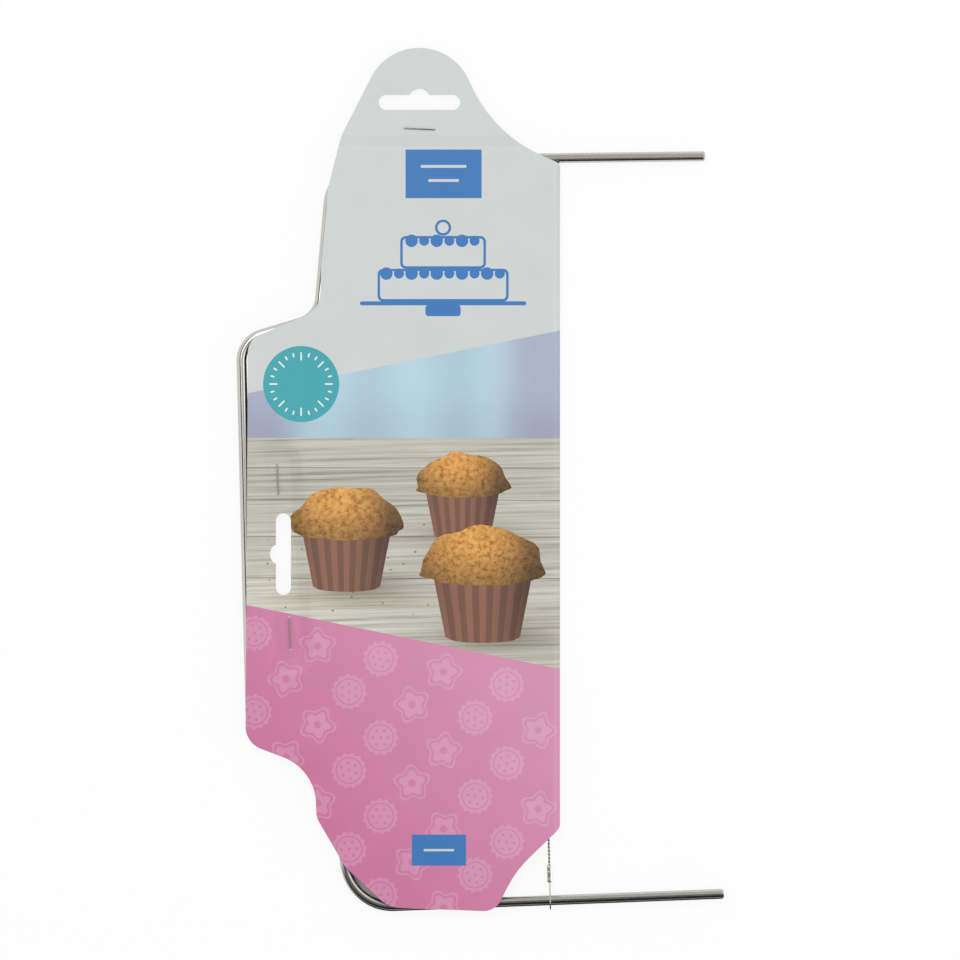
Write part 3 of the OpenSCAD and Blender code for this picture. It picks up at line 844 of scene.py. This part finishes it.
def finer_loop(loop, plan):
    """The loop with points added, close together on the fold, so that its sides bend with the board."""
    result = []
    for (s0, v0), (s1, v1) in zip(loop, loop[1:] + loop[:1]):
        on_fold = max(s0, s1) > plan.spine_u - 1 and min(s0, s1) < 2 * plan.fold_s - plan.spine_u + 1
        step = 0.45 if on_fold and abs(s1 - s0) > 0.2 else 1.6
        count = max(1, math.ceil(math.hypot(s1 - s0, v1 - v0) / step))
        result += [(s0 + (s1 - s0) * k / count, v0 + (v1 - v0) * k / count) for k in range(count)]
    return result


def clear_of(points, loops, distance):
    """The points that keep a distance from every side of the loops, so that no sliver forms beside them."""
    starts = np.concatenate([np.array(loop) for loop in loops])
    ends = np.concatenate([np.roll(np.array(loop), -1, axis=0) for loop in loops])
    keep = np.ones(len(points), bool)
    order = np.argsort(starts[:, 1])
    starts, ends = starts[order], ends[order]
    for i, point in enumerate(points):
        low, high = np.searchsorted(starts[:, 1], [point[1] - 3, point[1] + 3])
        a, b = starts[low:high], ends[low:high]
        run = b - a
        share = np.clip(((point - a) * run).sum(1) / np.maximum((run ** 2).sum(1), 1e-12), 0, 1)
        gap = np.abs(a + run * share[:, None] - point).max(1)
        keep[i] = not len(gap) or gap.min() > distance
    return points[keep]


def build_card(sizes):
    plan = CardPlan(sizes)
    shapes = picture_shapes(plan.fold_s) + pink_shapes(plan.fold_s) + label_shapes()
    holes = plan.holes()
    loops = [finer_loop(loop, plan) for loop in [plan.blank()] + holes + [shape[0] for shape in shapes]]
    free = clear_of(sheet_points(plan), loops, 0.3)
    coords, rings = [], []
    for loop in loops:
        rings.append(list(range(len(coords), len(coords) + len(loop))))
        coords += [Vector(p) for p in loop]
    coords += [Vector(p) for p in free]
    found, _, tris, _, _, owners = geometry.delaunay_2d_cdt(coords, [], rings, 0, 1e-4, True)
    first_shape = 1 + len(holes)
    kept, inks = [], []
    for tri, own in zip(tris, owners):
        if 0 in own and not any(1 <= o < first_shape for o in own):
            top = max((o for o in own if o >= first_shape), default=None)
            kept.append(tri)
            inks.append("pale" if top is None else shapes[top - first_shape][1])
    used, numbers = np.unique(kept, return_inverse=True)
    s, v = np.array([found[i] for i in used]).T
    points = np.concatenate([plan.place(s, v, plan.t / 2), plan.place(s, v, -plan.t / 2)])
    count = len(used)
    front = [tuple(tri) for tri in numbers.reshape(-1, 3).tolist()]
    edges = {(p, q) for tri in front for p, q in zip(tri, tri[1:] + tri[:1])}
    walls = [(p, p + count, q + count, q) for p, q in sorted(edges) if (q, p) not in edges]
    inside = [(a + count, c + count, b + count) for a, b, c in front]
    printed, bare = printed_board("coated_board_offset_print"), bare_board("uncoated_board", sizes.board)
    card = new_piece("folded_card", points, front + inside + walls, printed, bare)
    card.data.polygons.foreach_set("material_index", [0] * len(front) + [1] * (len(inside) + len(walls)))

    corner = np.zeros(len(card.data.loops), np.int32)
    card.data.loops.foreach_get("vertex_index", corner)
    colours = np.ones((len(corner), 4))
    colours[:, :3] = np.array(sizes.board)
    grain = np.tile(np.array(PLAIN), (len(corner), 1))
    kind_of = np.array(inks)
    for kind in sorted(set(inks)):
        chosen = np.zeros(len(corner), bool)
        chosen[:3 * len(front)] = np.repeat(kind_of == kind, 3)
        at = corner[chosen] % count
        colours[chosen, :3] = ink_colours(kind, sizes, s[at], v[at])
        grain[chosen] = WOOD if kind in ("planks", "seam") else CRUMB if kind.startswith("cru") else PLAIN
    for name, values in (("ink", colours), ("grain", grain)):
        layer = card.data.attributes.new(name, "FLOAT_COLOR", "CORNER")
        layer.data.foreach_set("color", values.astype(np.float32).ravel())
    finish_piece(card, "frame", "display_card", 50)


def build_staples(sizes):
    low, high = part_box("staples")
    wire_r = 0.25 * MM
    rise = high.z - low.z - 2 * wire_r
    end, tail, bend = STAPLE_CROWN / 2 * MM, 4 * MM, 0.45 * MM
    # a staple's corners: along the crown, up or down, and the bend's radius
    corners = [(end - tail, -1, 0), (end, -1, bend), (end, 1, bend), (-end, 1, bend), (-end, -1, bend),
               (tail - end, -1, 0)]
    wires = []
    for u, v, turn_deg in CardPlan(sizes).staples:
        [(x, y)] = turned([(u * MM, v * MM)], 0, 0, -math.degrees(sizes.skew))
        turn = math.radians(turn_deg) - sizes.skew
        along = Vector((math.cos(turn), math.sin(turn), 0))
        centre = Vector((x, y, MID_Z))
        points = [(centre + along * s + UP * (level * rise / 2), r) for s, level, r in corners]
        wires.append(swept(rounded_path(points, 12), wire_r, along.cross(UP), 14))
    metal = drawn_wire("galvanised_staple_wire", sizes.staple, 0.22)
    add_bar("staple_wires", joined(wires), metal, "frame", "staples")


def studio_sheet(name, corners, hex_code):
    """A flat sheet of the studio."""
    material, tree = new_material(name + "_cloth", Base_Color=linear(hex_code), Roughness=1.0)
    sheet = new_piece(name, corners, [(0, 1, 2, 3)], material)
    return sheet, tree


def shows_white(tree, camera_share, gloss_share):
    """How white the background shows: one share to the camera, another to gloss and glass."""
    path = add_node(tree, "ShaderNodeLightPath").outputs
    seen = add_node(tree, "ShaderNodeMath", {0: path["Is Camera Ray"], 1: camera_share}, operation="MULTIPLY")
    other = add_node(tree, "ShaderNodeMath", {0: path["Is Glossy Ray"], 1: path["Is Transmission Ray"]},
                     operation="MAXIMUM")
    return add_node(tree, "ShaderNodeMath", {0: other, 1: gloss_share, 2: seen}, operation="MULTIPLY_ADD")


def build_stage(sizes):
    """A pale floor, soft lamps, flags that only gloss shows, among them a painted shadow on the floor, and
    the camera above.
    """
    size, drop = 6.0, -0.05 * MM
    corners = [(-size, -size, drop), (size, -size, drop), (size, size, drop), (-size, size, drop)]
    _, tree = studio_sheet("floor", corners, "#f4f4f4")
    cloth = tree.nodes["Principled BSDF"]
    white = add_node(tree, "ShaderNodeEmission", {"Color": (1, 1, 1, 1)})
    mixed = add_node(tree, "ShaderNodeMixShader", {0: shows_white(tree, 0.88, 0.7), 1: cloth, 2: white})
    tree.links.new(mixed.outputs[0], tree.nodes["Material Output"].inputs["Surface"])

    # flags above and beside the object give the polished rods their bands
    height, dark, grey, pale = 0.55, "#2c2c2e", "#7f7f80", "#d6d6d4"
    flags = [(name, [(x0, y0, height), (x1, y0, height), (x1, y1, height), (x0, y1, height)], colour)
             for name, x0, x1, y0, y1, colour in (
                 ("near_flag", -0.07, 0.14, -0.13, -0.03, grey), ("low_flag", -0.7, 0.14, -0.4, -0.13, grey),
                 ("far_flag", -3.0, 1.0, -6.0, -0.4, dark), ("grey_flag", -0.07, 0.14, -0.03, 2.0, pale),
                 ("side_flag", -0.62, -0.3, -0.13, 0.6, dark))]
    # one on the floor runs along the lower leg's outer side: a painted shadow, a dark sheet that only gloss
    # shows, standing in for the leg's shadow on the table, which gives the leg its dark lower edge
    floor_z, slope = 0.8 * drop, math.tan(sizes.leg_toe_in)
    edge = [(x, ROD_LOW.y + 0.1 * MM + (x - ROD_LOW.x) * slope, floor_z) for x in (0.6, -0.6)]
    flags.append(("painted_shadow_sheet", [(-0.6, -0.8, floor_z), (0.6, -0.8, floor_z)] + edge, dark))
    for name, corners, colour in flags:
        flag, _ = studio_sheet(name, corners, colour)
        for ray in ("camera", "diffuse", "shadow", "transmission"):
            setattr(flag, "visible_" + ray, False)

    for name, place, size, power in (("key_softbox", (-0.5, 0.7, 1.6), 1.0, 6.9),
                                     ("side_softbox", (1.3, -0.2, 0.75), 1.0, 3.6)):
        data = bpy.data.lights.new(name, "AREA")
        data.size = size
        data.energy = power
        lamp = new_object(name, data)
        lamp.location = place
        lamp.rotation_euler = (-Vector(place)).to_track_quat("-Z", "Y").to_euler()

    world = bpy.data.worlds.new("studio")
    world.use_nodes = True
    tree = world.node_tree
    tree.nodes.clear()
    ambient = add_node(tree, "ShaderNodeBackground", {"Color": (1, 1, 1, 1), "Strength": 0.757})
    white = add_node(tree, "ShaderNodeBackground", {"Color": (1, 1, 1, 1)})
    mixed = add_node(tree, "ShaderNodeMixShader", {0: shows_white(tree, 1.0, 1.0), 1: ambient, 2: white})
    add_node(tree, "ShaderNodeOutputWorld", {"Surface": mixed})
    bpy.context.scene.world = world
    bpy.context.scene.view_settings.view_transform = "Standard"

    view_centre = Vector((1.46, 20.2, 7.0)) * MM
    width_seen, distance = 380.7 * MM, 3.2
    data = bpy.data.cameras.new("camera")
    data.lens = data.sensor_width * distance / width_seen
    data.clip_end = 20
    camera = new_object("camera", data)
    camera.location = view_centre + Vector((0, 0, distance))
    camera.rotation_euler = (0, 0, -math.radians(1.45))
    bpy.context.scene.camera = camera


class LEVELER_OT_stage(bpy.types.Operator):
    """Adds the floor, the lamps and the camera"""
    bl_idname = "leveler.stage"
    bl_label = "Stage"

    def execute(self, context):
        build_stage(context.scene.leveler_sizes)
        return {"FINISHED"}


class LEVELER_OT_rod(bpy.types.Operator):
    """Builds the bent, notched frame rod"""
    bl_idname = "leveler.rod"
    bl_label = "Frame rod"

    def execute(self, context):
        build_frame_rod(context.scene.leveler_sizes)
        return {"FINISHED"}


class LEVELER_OT_crossbar(bpy.types.Operator):
    """Builds the grip's crossbar and its two welds"""
    bl_idname = "leveler.crossbar"
    bl_label = "Crossbar and welds"

    def execute(self, context):
        build_crossbar(context.scene.leveler_sizes)
        return {"FINISHED"}


class LEVELER_OT_wire(bpy.types.Operator):
    """Builds the twisted cutting wire"""
    bl_idname = "leveler.wire"
    bl_label = "Cutting wire"

    def execute(self, context):
        build_cutting_wire(context.scene.leveler_sizes)
        return {"FINISHED"}


class LEVELER_OT_wire_ends(bpy.types.Operator):
    """Builds the eyes round the legs and the crimped ferrules"""
    bl_idname = "leveler.wire_ends"
    bl_label = "Eyes and ferrules"

    def execute(self, context):
        sizes = context.scene.leveler_sizes
        metal = drawn_wire("stainless_eye_wire", sizes.wire, 0.2)
        build_eye("eye_loop_upper", "upper_eye", "upper_end", False, sizes, metal)
        build_eye("eye_loop_lower", "lower_eye", "wire", True, sizes, metal)
        crimp = drawn_wire("crimped_sleeve_metal", sizes.ferrule, 0.26)
        for name in ("upper", "lower"):
            build_ferrule("crimped_sleeve_" + name, name + "_ferrule", crimp)
        return {"FINISHED"}


class LEVELER_OT_card(bpy.types.Operator):
    """Builds the folded, printed card"""
    bl_idname = "leveler.card"
    bl_label = "Display card"

    def execute(self, context):
        build_card(context.scene.leveler_sizes)
        return {"FINISHED"}


class LEVELER_OT_staples(bpy.types.Operator):
    """Builds the three staples"""
    bl_idname = "leveler.staples"
    bl_label = "Staples"

    def execute(self, context):
        build_staples(context.scene.leveler_sizes)
        return {"FINISHED"}


OPERATORS = (LEVELER_OT_stage, LEVELER_OT_rod, LEVELER_OT_crossbar, LEVELER_OT_wire, LEVELER_OT_wire_ends,
             LEVELER_OT_card, LEVELER_OT_staples)


class LEVELER_PT_panel(bpy.types.Panel):
    bl_idname = "LEVELER_PT_panel"
    bl_label = "Cake leveler"
    bl_space_type = "VIEW_3D"
    bl_region_type = "UI"
    bl_category = "Leveler"

    def draw(self, context):
        for operator in OPERATORS:
            self.layout.operator(operator.bl_idname)
        sizes = context.scene.leveler_sizes
        for name in sizes.bl_rna.properties.keys():
            if name not in ("rna_type", "name"):
                self.layout.prop(sizes, name)


CLASSES = (LevelerSizes,) + OPERATORS + (LEVELER_PT_panel,)


def register():
    for item in CLASSES:
        bpy.utils.register_class(item)
    bpy.types.Scene.leveler_sizes = bpy.props.PointerProperty(type=LevelerSizes)


def unregister():
    del bpy.types.Scene.leveler_sizes
    for item in reversed(CLASSES):
        bpy.utils.unregister_class(item)


def main():
    register()
    for operator in OPERATORS:
        group, name = operator.bl_idname.split(".")
        getattr(getattr(bpy.ops, group), name)()


if __name__ == "__main__":
    main()
